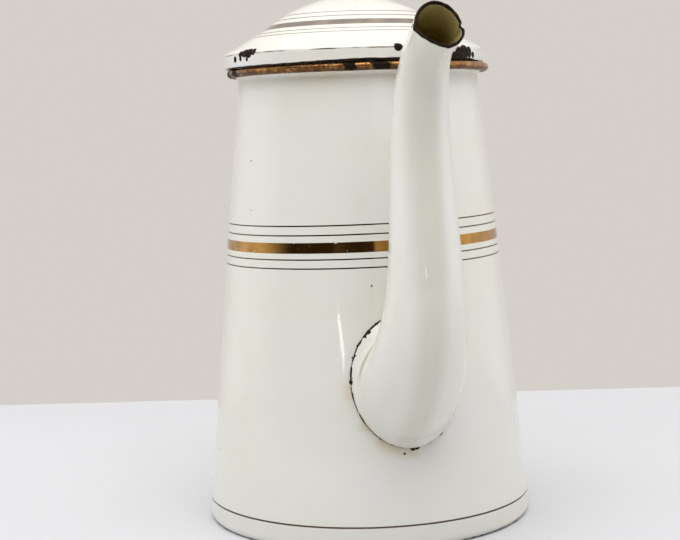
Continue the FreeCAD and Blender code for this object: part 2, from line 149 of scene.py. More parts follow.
def wall_radius(z):
    return FOOT_RADIUS - WALL_TAPER * (z - BAND_TOP)


# ---------------------------------------------------------------- curves and meshes

def smooth_curve(points, count):
    """Catmull-Rom curve through points (tuples of any length), count pieces between neighbours."""
    ends = [[2 * a - b for a, b in zip(points[0], points[1])]]
    ends.append([2 * a - b for a, b in zip(points[-1], points[-2])])
    chain = [ends[0]] + [list(p) for p in points] + [ends[1]]
    result = []
    for i in range(1, len(chain) - 2):
        for k in range(count):
            result.append(catmull(chain[i - 1:i + 3], k / count))
    result.append(list(points[-1]))
    return result


def catmull(four, t):
    a, b, c, d = four
    return [
        0.5 * (2 * q + (r - p) * t + (2 * p - 5 * q + 4 * r - s) * t * t + (3 * q - p - 3 * r + s) * t ** 3)
        for p, q, r, s in zip(a, b, c, d)
    ]


def arc(centre, radius, from_deg, to_deg, count):
    points = []
    for k in range(count + 1):
        angle = math.radians(from_deg + (to_deg - from_deg) * k / count)
        points.append((centre[0] + radius * math.cos(angle), centre[1] + radius * math.sin(angle)))
    return points


def straight(start, end, count):
    """Points from start to just before end."""
    return [tuple(a + (b - a) * k / count for a, b in zip(start, end)) for k in range(count)]


def grid_mesh(name, rings, loop_rows, attributes=None):
    """Quad mesh over rings of points in millimetres; every ring is closed round."""
    around = len(rings[0])
    mesh = bpy.data.meshes.new(name)
    points = [p * MM for ring in rings for p in ring]
    faces = []
    rows = len(rings)
    for i in range(rows if loop_rows else rows - 1):
        for j in range(around):
            a, b = i * around + j, i * around + (j + 1) % around
            c = ((i + 1) % rows) * around
            faces.append((a, b, c + (j + 1) % around, c + j))
    mesh.from_pydata(points, [], faces)
    for key, values in (attributes or {}).items():
        layer = mesh.attributes.new(key, "FLOAT", "POINT")
        layer.data.foreach_set("value", values)
    work = bmesh.new()
    work.from_mesh(mesh)
    bmesh.ops.remove_doubles(work, verts=work.verts, dist=1e-7)
    bmesh.ops.recalc_face_normals(work, faces=work.faces)
    work.to_mesh(mesh)
    work.free()
    for face in mesh.polygons:
        face.use_smooth = True
    piece = bpy.data.objects.new(name, mesh)
    bpy.context.scene.collection.objects.link(piece)
    return piece


def lumps(point, size, depth):
    """Slow unevenness of hand-worked sheet, in millimetres."""
    return depth * noise.noise(Vector(point) / size)


def revolve(name, profile, segments, centre_x=0.0, unevenness=None, drop=None):
    """Closed profile of (radius, height) turned about a vertical axis at centre_x."""
    rings = []
    for radius, height in profile:
        ring = []
        for j in range(segments):
            angle = 2 * math.pi * j / segments
            point = Vector((math.cos(angle) * radius, math.sin(angle) * radius, height))
            if unevenness and radius > 1:
                point.xy *= 1 + lumps(point, *unevenness) / radius
            if drop:
                point.z += drop(point)
            point.x += centre_x
            ring.append(point)
        rings.append(ring)
    return grid_mesh(name, rings, True)


def finish_piece(piece, body, material, replaced=()):
    piece.data.materials.clear()
    piece.data.materials.append(material)
    if replaced:
        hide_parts(*replaced)
    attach(piece, body)


# ---------------------------------------------------------------- shader nodes

class Shader:
    """A node material round one Principled shader, with short calls for the nodes it needs."""

    def __init__(self, name):
        self.material = bpy.data.materials.new(name)
        self.material.use_nodes = True
        self.tree = self.material.node_tree
        self.tree.nodes.clear()
        self.surface = self.tree.nodes.new("ShaderNodeBsdfPrincipled")
        output = self.tree.nodes.new("ShaderNodeOutputMaterial")
        self.tree.links.new(self.surface.outputs["BSDF"], output.inputs["Surface"])
        coordinates = self.tree.nodes.new("ShaderNodeTexCoord")
        scaled = self.tree.nodes.new("ShaderNodeVectorMath")
        scaled.operation = "SCALE"
        scaled.inputs["Scale"].default_value = 1 / MM
        self.tree.links.new(coordinates.outputs["Object"], scaled.inputs[0])
        self.point = scaled.outputs[0]
        split = self.tree.nodes.new("ShaderNodeSeparateXYZ")
        self.tree.links.new(self.point, split.inputs[0])
        self.x, self.y, self.z = split.outputs

    def put(self, socket, value):
        if isinstance(value, bpy.types.NodeSocket):
            self.tree.links.new(value, socket)
        elif isinstance(value, (tuple, list)):
            wanted = len(socket.default_value)
            socket.default_value = tuple(value)[:wanted] + (1.0,) * (wanted - len(value))
        else:
            socket.default_value = value

    def math(self, operation, a, b=0.0):
        node = self.tree.nodes.new("ShaderNodeMath")
        node.operation = operation
        for socket, value in zip(node.inputs, (a, b)):
            self.put(socket, value)
        return node.outputs[0]

    def add(self, a, b):
        return self.math("ADD", a, b)

    def less(self, a, b):
        return self.math("SUBTRACT", a, b)

    def times(self, a, b):
        return self.math("MULTIPLY", a, b)

    def most(self, values):
        result = values[0]
        for value in values[1:]:
            result = self.math("MAXIMUM", result, value)
        return result

    def step(self, value, low, high):
        """0 where value is under low, 1 over high, smooth between; high may be under low."""
        node = self.tree.nodes.new("ShaderNodeMapRange")
        node.interpolation_type = "SMOOTHSTEP"
        self.put(node.inputs["Value"], value)
        if low > high:
            low, high = high, low
            node.inputs["To Min"].default_value = 1.0
            node.inputs["To Max"].default_value = 0.0
        node.inputs["From Min"].default_value = low
        node.inputs["From Max"].default_value = high
        return node.outputs["Result"]

    def noise(self, size, detail=2.0, seed=0.0, roughness=0.5):
        """Noise from 0 to 1 with features about size millimetres across."""
        node = self.tree.nodes.new("ShaderNodeTexNoise")
        node.noise_dimensions = "4D"
        node.inputs["Scale"].default_value = 1.0 / size
        node.inputs["Detail"].default_value = detail
        node.inputs["Roughness"].default_value = roughness
        node.inputs["W"].default_value = seed
        self.tree.links.new(self.point, node.inputs["Vector"])
        return node.outputs["Fac"]

    def specks(self, spacing, radius, share, seed):
        """Small round spots: one in each cell of about spacing, kept in a share of the cells."""
        moved = self.tree.nodes.new("ShaderNodeVectorMath")
        moved.operation = "ADD"
        moved.inputs[1].default_value = (seed, 2 * seed, 3 * seed)
        self.tree.links.new(self.point, moved.inputs[0])
        node = self.tree.nodes.new("ShaderNodeTexVoronoi")
        node.inputs["Scale"].default_value = 1.0 / spacing
        self.tree.links.new(moved.outputs[0], node.inputs["Vector"])
        chosen = self.tree.nodes.new("ShaderNodeSeparateColor")
        self.tree.links.new(node.outputs["Color"], chosen.inputs[0])
        size = self.times(chosen.outputs[1], radius / spacing)
        soft = 0.06 * radius / spacing
        spot = self.step(self.less(node.outputs["Distance"], size), soft, -soft)
        return self.times(spot, self.math("LESS_THAN", chosen.outputs[0], share))

    def attribute(self, name):
        node = self.tree.nodes.new("ShaderNodeAttribute")
        node.attribute_name = name
        return node.outputs["Fac"]

    def mix(self, share, a, b):
        node = self.tree.nodes.new("ShaderNodeMix")
        node.data_type = "RGBA"
        self.put(node.inputs[0], share)
        self.put(node.inputs[6], a)
        self.put(node.inputs[7], b)
        return node.outputs[2]

    def blend(self, share, a, b):
        node = self.tree.nodes.new("ShaderNodeMix")
        self.put(node.inputs[0], share)
        self.put(node.inputs[2], a)
        self.put(node.inputs[3], b)
        return node.outputs[0]

    def line(self, value, middle, width, soft=0.06):
        """1 within a stripe about a value, with soft edges."""
        away = self.math("ABSOLUTE", self.less(value, middle))
        return self.step(away, 0.5 * width + soft, 0.5 * width - soft)

    def bump(self, height, distance):
        node = self.tree.nodes.new("ShaderNodeBump")
        node.inputs["Distance"].default_value = distance * MM
        self.put(node.inputs["Height"], height)
        return node.outputs["Normal"]

    def radius_about(self, centre_x):
        across = self.less(self.x, centre_x)
        return self.math("SQRT", self.add(self.times(across, across), self.times(self.y, self.y)))

    def near(self, place, reach, wobble, seed):
        """Irregular patch about a place (x, y, z in millimetres), as wide as reach."""
        gap = self.tree.nodes.new("ShaderNodeVectorMath")
        gap.operation = "DISTANCE"
        gap.inputs[1].default_value = place
        self.tree.links.new(self.point, gap.inputs[0])
        ragged = self.times(self.less(self.noise(1.6, 3.0, seed), 0.5), 2 * wobble)
        return self.step(self.add(gap.outputs["Value"], ragged), reach + 0.12, reach - 0.12)


# ---------------------------------------------------------------- materials

CREAM = (0.80, 0.79, 0.72)
CREAM_WARM = (0.79, 0.755, 0.62)
CREAM_COOL = (0.79, 0.79, 0.755)
CHIP = (0.010, 0.007, 0.005)
RUST = (0.075, 0.028, 0.010)
RUST_STAIN = (0.64, 0.54, 0.26)
# yellowish painted shadow and gold reflection for the wall under the rim
RIM_SHADE_TINT = (0.64, 0.58, 0.36)
# painted shade for the middle of the spout
SPOUT_MIDDLE_SHADE = (0.61, 0.585, 0.475)
# tan painted shade for the crease between the spout's flange and tube
CREASE_SHADE = (0.42, 0.355, 0.21)
GILT = (0.47, 0.25, 0.065)
GILT_DARK = (0.33, 0.17, 0.045)
TARNISH = (0.105, 0.07, 0.045)
FADED_GILT = (0.40, 0.33, 0.27)
FADED_GILT_DARK = (0.28, 0.24, 0.21)


def enamel(name, gilt=None, chips=None, stains_and_shade=None, inside=None, seed=0.0, gilt_tones=(GILT, GILT_DARK),
           dull=None):
    """Glossy vitreous enamel. The optional calls return masks for gilt lines, chips and dull gilding,
    (share, tone) pairs for each stain and each painted shade, and the inside as one such pair. On the lid
    the chips mask also paints the shadow under its edge black, and the inside's tone is painted darker
    deeper in."""
    s = Shader(name)
    slow = s.noise(60.0, 2.0, seed)
    patchy = s.noise(14.0, 3.0, seed + 3)
    colour = s.mix(s.step(slow, 0.35, 0.7), CREAM, CREAM_COOL)
    colour = s.mix(s.times(s.step(patchy, 0.45, 0.75), 0.28), colour, CREAM_WARM)
    roughness = s.add(0.03, s.times(s.noise(9.0, 3.0, seed + 5), 0.07))
    metal = 0.0
    if stains_and_shade:
        for share, tone in stains_and_shade(s):
            colour = s.mix(share, colour, tone)
    if inside:
        share, tone = inside(s)
        colour = s.mix(share, colour, tone)
        roughness = s.blend(share, roughness, 0.42)
    if gilt:
        mask = s.times(gilt(s), s.step(s.noise(2.2, 4.0, seed + 7), 0.24, 0.34))
        rubbed = s.mix(s.step(s.noise(9.0, 3.0, seed + 8), 0.35, 0.65), *gilt_tones)
        if dull:
            rubbed = s.mix(dull(s), rubbed, TARNISH)
        colour = s.mix(mask, colour, rubbed)
        roughness = s.blend(mask, roughness, 0.12)
        metal = mask
    pits = s.most([s.specks(17.0, 0.34, 0.16, seed + 11), s.specks(6.0, 0.12, 0.10, seed + 23)])
    broken = s.most([pits, chips(s)]) if chips else pits
    rusty = s.mix(s.step(s.noise(1.3, 3.0, seed + 9), 0.52, 0.70), CHIP, RUST)
    colour = s.mix(broken, colour, rusty)
    roughness = s.blend(broken, roughness, 0.62)
    if gilt:
        metal = s.times(metal, s.less(1.0, broken))
    orange_peel = s.add(s.noise(5.0, 2.0, seed + 13), s.times(s.noise(22.0, 1.0, seed + 14), 2.2))
    height = s.less(s.times(orange_peel, 0.020), s.times(broken, 0.30))
    s.put(s.surface.inputs["Base Color"], colour)
    s.put(s.surface.inputs["Roughness"], roughness)
    s.put(s.surface.inputs["Metallic"], metal)
    s.put(s.surface.inputs["Specular IOR Level"], s.blend(broken, 0.5, 0.08))
    s.put(s.surface.inputs["Normal"], s.bump(height, 1.0))
    s.surface.inputs["IOR"].default_value = 1.52
    return s.material


def root_edge(s):
    """Distance outside the oval edge of the spout's root, in millimetres, at the front only."""
    across = s.times(s.x, 1 / ROOT_HALF_WIDTH)
    up = s.times(s.less(s.z, ROOT_HEIGHT), 1 / ROOT_HALF_HEIGHT)
    oval = s.math("SQRT", s.add(s.times(across, across), s.times(up, up)))
    away = s.times(s.less(oval, 1.0), 0.5 * (ROOT_HALF_WIDTH + ROOT_HALF_HEIGHT))
    return s.add(away, s.times(s.step(s.y, -40.0, -30.0), 100.0))


def beyond_wall(s, inset=0.0):
    """Distance outside the wall, drawn in by inset, in millimetres."""
    wall = s.less(FOOT_RADIUS + WALL_TAPER * BAND_TOP - inset, s.times(s.z, WALL_TAPER))
    return s.less(s.radius_about(0.0), wall)


def by_the_wall(s):
    """1 on the wall and on the flange lying on it, 0 on the tube further out."""
    return s.step(beyond_wall(s), 2.4, 1.8)


def seam_chips(s):
    """Broken enamel along the edge of the spout's root, worst at its upper left."""
    away = s.math("ABSOLUTE", root_edge(s))
    left = s.step(s.x, 17.0, 12.0)
    upper_left = s.times(s.step(s.x, -4.0, -14.0), s.step(s.z, 60.0, 70.0))
    patchy = s.step(s.noise(3.5, 2.0, 41.0), 0.50, 0.60)
    reach = s.times(patchy, s.add(0.26, s.times(upper_left, 0.50)))
    reach = s.times(reach, s.step(s.noise(1.5, 3.0, 42.0), 0.34, 0.60))
    thin = s.times(s.step(s.noise(2.6, 2.0, 43.0), 0.46, 0.60), s.add(0.09, s.times(upper_left, 0.10)))
    broken = s.step(s.less(away, s.most([reach, thin])), 0.08, -0.05)
    patches = [s.near(on_cone(*spot[:2]), spot[2], 0.3 * spot[2], 75.0) for spot in SEAM_CHIPS]
    return s.times(s.times(s.most([broken] + patches), left), by_the_wall(s))


def seam_stain(s):
    away = s.math("ABSOLUTE", s.less(root_edge(s), 1.2))
    halo = s.times(s.step(away, 4.5, 0.2), s.step(s.noise(9.0, 3.0, 44.0), 0.34, 0.60))
    lower = s.times(s.step(s.z, 78.0, 60.0), s.step(s.x, 12.0, 4.0))
    share = s.times(s.times(s.times(halo, lower), by_the_wall(s)), 0.5)
    return [(share, RUST_STAIN)]


def on_cone(azimuth, height):
    """Place on the wall, by degrees round from the spout towards +X, and height."""
    angle = math.radians(azimuth)
    radius = wall_radius(height)
    return (radius * math.sin(angle), -radius * math.cos(angle), height)


# Chips and specks in the enamel of the wall: (degrees round from the spout towards +X, height, reach)
SEAM_CHIPS = [(0.5, 41.5, 1.1), (2, 42, 1.2), (11, 46.5, 1.1), (-17, 56.5, 1.0), (-2.5, 39.5, 0.5)]
POT_SPECKS = [(-70, 160.5, 0.32), (-68, 139.5, 0.26), (-12, 108.5, 0.36), (-85, 34, 0.4), (118, 88, 0.5)]


def line_level(s):
    """Height, tilted as the hand-painted lines of the body are."""
    tilt = s.add(s.times(s.x, BODY_LINE_TILT[0]), s.times(s.y, BODY_LINE_TILT[1]))
    return s.less(s.z, tilt)


def pot_enamel():
    def gilt(s):
        level = line_level(s)
        outside = s.step(beyond_wall(s, 0.6), -0.1, 0.1)
        lines = s.most([s.line(level, *band) for band in BODY_LINES] + [s.line(s.z, *FOOT_LINE)])
        return s.times(lines, outside)

    def dull(s):
        middle, width = BODY_LINES[2]
        return s.less(1.0, s.line(line_level(s), middle, width + 1.5))

    def stains_and_shade(s):
        patchy = s.step(s.noise(16.0, 3.0, 51.0), 0.25, 0.75)
        # painted shadow and reflection of the gilt rim, in patches, on the wall just under it
        under_rim = s.times(s.step(s.z, WALL_TOP - 9, WALL_TOP), patchy)
        return seam_stain(s) + [(s.times(under_rim, 0.55), RIM_SHADE_TINT)]

    def chips(s):
        foot = s.times(s.step(s.z, 1.6, 0.5), s.step(s.noise(4.0, 3.0, 53.0), 0.50, 0.60))
        specks = [s.near(on_cone(*spot[:2]), spot[2], 0.4 * spot[2], 76.0) for spot in POT_SPECKS]
        return s.most([seam_chips(s), foot] + specks)

    return enamel("pot_enamel", gilt, chips, stains_and_shade, seed=1.0, dull=dull)


def lid_enamel():
    def gilt(s):
        radius = s.radius_about(LID_X)
        top_side = s.step(s.z, LID_SHOULDER - 0.2, LID_SHOULDER + 0.2)
        lines = s.times(s.most([s.line(radius, *band) for band in LID_LINES]), top_side)
        at_edge = s.step(radius, LID_RADIUS - 2.5, LID_RADIUS - 2.2)
        shoulder = s.times(s.line(s.z, LID_SHOULDER - 0.5, 0.6), at_edge)
        return s.most([lines, s.times(shoulder, s.step(s.noise(16.0, 2.0, 61.0), 0.35, 0.6))])

    def chips(s):
        # black along the lid's lower edge on the front: partly chipped enamel, partly painted shadow of the
        # gap above the rim
        hem = s.less(s.less(s.z, LID_BOTTOM), s.times(s.step(s.noise(7.0, 3.0, 63.0), 0.3, 0.7), 0.3))
        dark_hem_span = s.times(s.step(s.x, -58.0, -5.0), s.step(s.x, 46.0, 36.0))
        edge = s.step(s.less(hem, dark_hem_span), -0.05, -0.2)
        patches = []
        for k, (azimuth, height, reach) in enumerate(LID_CHIPS):
            angle = math.radians(azimuth)
            place = (LID_X + LID_RADIUS * math.sin(angle), -LID_RADIUS * math.cos(angle), height)
            patches.append(s.near(place, reach, 0.28 * reach, 70.0 + k))
        return s.most([edge] + patches)

    return enamel("lid_enamel", gilt, chips, seed=2.0, gilt_tones=(FADED_GILT, FADED_GILT_DARK))


# Chips on the lid's edge: (degrees round from the spout towards +X, height, reach)
LID_CHIPS = [
    (-71, LID_SHOULDER - 0.5, 1.5),
    (-68, LID_SHOULDER, 2.2),
    (-65, LID_SHOULDER, 2.5),
    (-62, LID_SHOULDER + 0.5, 2.0),
    (-76, LID_SHOULDER - 2.5, 1.4),
    (-71, LID_SHOULDER - 2.5, 1.0),
    (-66, LID_SHOULDER - 3.0, 0.8),
    (4, LID_SHOULDER - 0.5, 1.8),
    (33, LID_SHOULDER - 4.5, 2.2),
    (36, LID_SHOULDER - 3.5, 2.8),
    (40, LID_SHOULDER - 2.5, 3.2),
    (44, LID_SHOULDER - 2.5, 2.4),
    (48, LID_SHOULDER - 3.5, 1.4),
    (77, LID_SHOULDER - 2.0, 1.9),
    (150, LID_SHOULDER - 0.5, 2.0),
    (231, LID_SHOULDER, 1.6),
]


def spout_enamel():
    def chips(s):
        lip = s.step(s.less(s.attribute("from_lip"), s.times(s.noise(2.4, 3.0, 81.0), 1.7)), 0.15, -0.15)
        return s.most([lip, seam_chips(s)])

    def inside(s):
        # brown stain inside the spout; its darkening from the lip inwards is painted shade
        tone = s.mix(s.step(s.attribute("from_lip"), 3.0, 22.0), (0.48, 0.40, 0.16), (0.26, 0.19, 0.035))
        tone = s.mix(s.step(s.noise(5.0, 3.0, 83.0), 0.4, 0.7), tone, (0.44, 0.37, 0.15))
        tone = s.mix(s.near(LIP_PALE_SPOT, 2.2, 0.5, 84.0), tone, CREAM_WARM)
        return s.attribute("inside"), tone

    def stains_and_shade(s):
        # painted shade down the middle of the spout, where it faces the dim room
        middle_shade = s.step(s.math("ABSOLUTE", s.add(s.x, 2.5)), 9.0, 2.0)
        front = [(s.times(middle_shade, 0.55), SPOUT_MIDDLE_SHADE), (s.attribute("crease"), CREASE_SHADE)]
        return seam_stain(s) + front

    return enamel("spout_enamel", None, chips, stains_and_shade, inside, seed=3.0)


LIP_PALE_SPOT = (7.5, -123.5, 207.5)      # bare pale enamel just inside the lip's right corner


def gilt_rim():
    """Fired gilding on the rolled rim, tarnished underneath and worn through to dark iron in patches."""
    s = Shader("gilt_rim")
    spots = []
    for k, (azimuth, reach) in enumerate(BEAD_WORN):
        angle = math.radians(azimuth)
        place = (BEAD_RADIUS * math.sin(angle), -BEAD_RADIUS * math.cos(angle), BEAD_MIDDLE)
        spots.append(s.near(place, reach, 1.1 * reach, 96.0 + k))
    patch = s.most([s.step(s.noise(9.0, 4.0, 91.0, 0.6), 0.58, 0.66)] + spots)
    under = s.step(s.add(s.z, s.times(s.noise(3.0, 3.0, 90.0), 1.6)), BEAD_MIDDLE + 1.2, BEAD_MIDDLE - 0.2)
    grime = s.step(s.add(s.noise(2.2, 4.0, 92.0, 0.65), s.times(under, 0.16)), 0.46, 0.66)
    colour = s.mix(s.step(s.noise(6.0, 3.0, 93.0), 0.35, 0.68), (0.46, 0.24, 0.075), (0.21, 0.08, 0.02))
    colour = s.mix(s.times(grime, 0.85), colour, (0.075, 0.028, 0.010))
    colour = s.mix(patch, colour, (0.012, 0.007, 0.004))
    worn = s.most([patch, s.times(grime, 0.6)])
    s.put(s.surface.inputs["Base Color"], colour)
    s.put(s.surface.inputs["Metallic"], s.less(0.95, s.times(worn, 0.7)))
    s.put(s.surface.inputs["Specular IOR Level"], s.less(0.5, s.times(worn, 0.4)))
    s.put(s.surface.inputs["Roughness"], s.add(0.16, s.times(worn, 0.40)))
    s.put(s.surface.inputs["Normal"], s.bump(s.less(s.times(s.noise(3.0, 3.0, 94.0), 0.3), worn), 0.12))
    return s.material


# Worn places on the rolled rim: (degrees round from the spout towards +X, reach)
BEAD_WORN = [(-18.0, 2.4), (-3.0, 1.8), (-82.0, 3.4), (-93.0, 4.0), (84.0, 2.6), (140.0, 3.0), (205.0, 2.4)]


def dull_steel():
    s = Shader("dull_steel")
    rust = s.step(s.noise(2.5, 4.0, 95.0), 0.48, 0.66)
    s.put(s.surface.inputs["Base Color"], s.mix(rust, (0.33, 0.31, 0.29), (0.14, 0.055, 0.02)))
    s.put(s.surface.inputs["Metallic"], s.less(0.95, s.times(rust, 0.85)))
    s.put(s.surface.inputs["Roughness"], s.add(0.34, s.times(rust, 0.4)))
    s.put(s.surface.inputs["Normal"], s.bump(s.noise(0.9, 3.0, 96.0), 0.05))
    return s.material


def pale_floor():
    s = Shader("pale_floor")
    colour = s.mix(s.noise(120.0, 3.0, 97.0), (0.625, 0.63, 0.655), (0.65, 0.655, 0.68))
    s.put(s.surface.inputs["Base Color"], colour)
    s.surface.inputs["Roughness"].default_value = 0.75
    return s.material


# ---------------------------------------------------------------- pot

def pot_profile():
    """Outside up from the foot, over the mouth, down the inside and out under the floor."""
    corner = (FOOT_RADIUS - FOOT_CORNER, FOOT_CORNER)
    outside = arc(corner, FOOT_CORNER, -90, 0, 8)
    band_end = (FOOT_RADIUS, BAND_TOP - 0.3)
    wall_start = (wall_radius(BAND_TOP + 0.3), BAND_TOP + 0.3)
    wall_end = (wall_radius(WALL_TOP - 3), WALL_TOP - 3)
    outside += straight((FOOT_RADIUS, FOOT_CORNER + 1), band_end, 5)
    outside += straight(band_end, wall_start, 2)
    outside += straight(wall_start, wall_end, 74)
    turn = [
        wall_end,
        (wall_radius(WALL_TOP - 1) + 0.3, WALL_TOP - 1),
        (wall_radius(WALL_TOP) + 1.4, WALL_TOP + 0.2),
    ]
    outside += [tuple(p) for p in smooth_curve(turn, 4)]
    inner_top = wall_radius(WALL_TOP) - SHEET
    mouth = [(inner_top + 0.9, WALL_TOP + 0.6), (inner_top, WALL_TOP - 0.4)]
    floor_top = FLOOR_RECESS + SHEET
    inner_corner = (FOOT_RADIUS - SHEET - 3, floor_top + 1.2)
    inside = straight((inner_top, WALL_TOP - 1), (wall_radius(BAND_TOP) - SHEET, BAND_TOP), 60)
    inside += [tuple(p) for p in arc(inner_corner, 3.0, 0, -90, 6)]
    inside += [(REST_RING_INNER, SHEET + 0.2), (REST_RING_INNER - FLOOR_RECESS, floor_top)]
    inside += straight((REST_RING_INNER - FLOOR_RECESS - 2, floor_top), (0.0, floor_top), 12)
    inside += [(0.0, floor_top)]
    under = [(0.0, FLOOR_RECESS)]
    under += straight((4.0, FLOOR_RECESS), (REST_RING_INNER - 4.2, FLOOR_RECESS), 12)
    under += [(REST_RING_INNER - 3.6, FLOOR_RECESS - 0.25)]
    under += [(REST_RING_INNER - 0.5, 0.2), (REST_RING_INNER + 0.6, 0.0)]
    return outside + mouth + inside + under


def strainer_cutters():
    work = bmesh.new()
    row_step = STRAINER_PITCH * math.sin(math.radians(60))
    for row in range(-2, 3):
        count = 5 - abs(row)
        for k in range(count):
            x = STRAINER_PITCH * (k - 0.5 * (count - 1)) * 0.8
            place = Matrix.Translation(Vector((x, -60, ROOT_HEIGHT + row * row_step)) * MM)
            turn = Matrix.Rotation(math.pi / 2, 4, "X")
            bmesh.ops.create_cone(work, cap_ends=True, segments=32, radius1=STRAINER_HOLE * MM,
                                  radius2=STRAINER_HOLE * MM, depth=30 * MM, matrix=place @ turn)
    mesh = bpy.data.meshes.new("strainer_cutters")
    work.to_mesh(mesh)
    work.free()
    cutter = bpy.data.objects.new("strainer_cutters", mesh)
    bpy.context.scene.collection.objects.link(cutter)
    return cutter


def apply_modifiers(piece):
    """Replaces the piece's mesh by what its modifiers make of it."""
    graph = bpy.context.evaluated_depsgraph_get()
    made = bpy.data.meshes.new_from_object(piece.evaluated_get(graph))
    piece.modifiers.clear()
    piece.data = made


def make_pot(material):
    pot = revolve("pot_skin", pot_profile(), 240, unevenness=(55.0, 0.22))
    cutter = strainer_cutters()
    holes = pot.modifiers.new("strainer", "BOOLEAN")
    holes.operation = "DIFFERENCE"
    holes.object = cutter
    apply_modifiers(pot)
    bpy.data.objects.remove(cutter)
    for face in pot.data.polygons:
        face.use_smooth = True
    pot.data.set_sharp_from_angle(angle=math.radians(50))
    finish_piece(pot, "pot", material, ("body_wall", "base_pan"))


def make_bead(material):
    """Rolled rim: a flattened ring whose edge is tucked back under with a narrow open slot."""
    outer = BEAD_RADIUS - BEAD_HALF
    inner = wall_radius(WALL_TOP) - SHEET + BEAD_HALF
    profile = arc((outer, BEAD_MIDDLE), BEAD_HALF, -90, 90, 14)
    profile += straight((outer - 0.4, BEAD_HIGH.z), (inner, BEAD_HIGH.z), 3)
    profile += arc((inner, BEAD_MIDDLE), BEAD_HALF, 90, 180, 8)
    profile += [(inner - BEAD_HALF, BEAD_LOW.z + 0.3), (inner - BEAD_HALF + 0.3, BEAD_LOW.z)]
    slot = wall_radius(WALL_TOP) + 1.2
    profile += [(slot - 0.3, BEAD_LOW.z), (slot, BEAD_LOW.z + 0.9), (slot + 0.35, BEAD_LOW.z)]

    def sag(point):
        return 0.16 * noise.noise(point / 14) + 0.05 * noise.noise(point / 3)

    bead = revolve("gilt_bead", profile, 480, unevenness=(9.0, 0.12), drop=sag)
    finish_piece(bead, "pot", material, ("rim_bead",))


# ---------------------------------------------------------------- tubes that start on the wall

def spout_ring(values, shrink, turns, is_lip):
    """Points round the spout's section; values are one interpolated station."""
    reach, height, climb, back, front, half_width, squareness = values
    back, front, half_width = back - shrink, front - shrink, half_width - shrink
    angle = math.radians(climb)
    forward = (math.sin(angle), -math.cos(angle))
    ring = []
    for turn in turns:
        side = math.copysign(1.0, turn)
        t = abs(turn)
        in_front = t < 0.5 * math.pi
        power = 2.0 / squareness if in_front else 1.0
        across = half_width * math.sin(t) ** power if t < math.pi else 0.0
        if side < 0:
            across += is_lip * LIP_FLARE * math.exp(-((t - 0.5 * math.pi) / LIP_FLARE_SPREAD) ** 2)
        else:
            across -= is_lip ** 3 * LIP_NOTCH * math.exp(-((t - LIP_NOTCH_TURN) / LIP_NOTCH_SPREAD) ** 2)
        across *= 1.0 - is_lip * side * LIP_LOPSIDED * math.sin(t) ** 2
        if t < 1e-6 or t > math.pi - 1e-6:
            across = 0.0
        along = front * math.cos(t) ** power if in_front else back * math.cos(t)
        if shrink == 0.0:
            along += SEAM_RIDGE * math.exp(-(across / SEAM_RIDGE_SPREAD) ** 2) * (1 if in_front else -1)
        ring.append(Vector((side * across, -(reach + along * forward[0]), height + along * forward[1])))
    return ring


def on_wall(point, lift):
    """The point moved straight out or in to the wall's outside, plus lift."""
    flat = Vector((point.x, point.y, 0)).normalized() * (wall_radius(point.z) + lift)
    return Vector((flat.x, flat.y, point.z))


def outside_wall(point):
    return math.hypot(point.x, point.y) - wall_radius(point.z)


def trimmed(generator, rows, from_end=False):
    """Generator line cut where it leaves the wall. One cut at its start is divided evenly into rows."""
    line = generator[::-1] if from_end else generator
    start = next(k for k in range(1, len(line)) if outside_wall(line[k]) > 0)
    before, after = outside_wall(line[start - 1]), outside_wall(line[start])
    share = -before / (after - before)
    kept = [line[start - 1].lerp(line[start], share)] + line[start:]
    return kept[::-1] if from_end else resample(kept, rows)


def resample(line, rows):
    lengths = [0.0]
    for a, b in zip(line, line[1:]):
        lengths.append(lengths[-1] + (b - a).length)
    result = []
    k = 0
    for row in range(rows + 1):
        want = lengths[-1] * row / rows
        while k < len(line) - 2 and lengths[k + 1] < want:
            k += 1
        gap = lengths[k + 1] - lengths[k]
        result.append(line[k].lerp(line[k + 1], min(1.0, (want - lengths[k]) / gap) if gap else 0.0))
    return result


def spout_generators(shrink, turns, rows):
    stations = [s + (0.0,) for s in SPOUT_STATIONS[:-1]] + [SPOUT_STATIONS[-1] + (1.0,)]
    values = smooth_curve(stations, 14)
    rings = [spout_ring(v[:7], shrink, turns, max(0.0, v[7])) for v in values]
    return [trimmed([ring[j] for ring in rings], rows) for j in range(len(turns))]


def root_point(turn, lift):
    """Point on the oval edge of the spout's root, on the wall."""
    x = ROOT_HALF_WIDTH * math.sin(turn)
    z = ROOT_HEIGHT - ROOT_HALF_HEIGHT * math.cos(turn)
    radius = wall_radius(z) + lift
    return Vector((x, -math.sqrt(radius * radius - x * x), z))


def crease_shade(turn, climbed):
    """How much tan painted shade lies in the crease between flange and tube, on its upper left."""
    along = math.exp(-((turn + 2.28) / 0.56) ** 4)
    middle = 5.6 - 3.4 * (turn + 2.15)
    return 0.9 * along * math.exp(-((climbed - middle) / 1.2) ** 4)


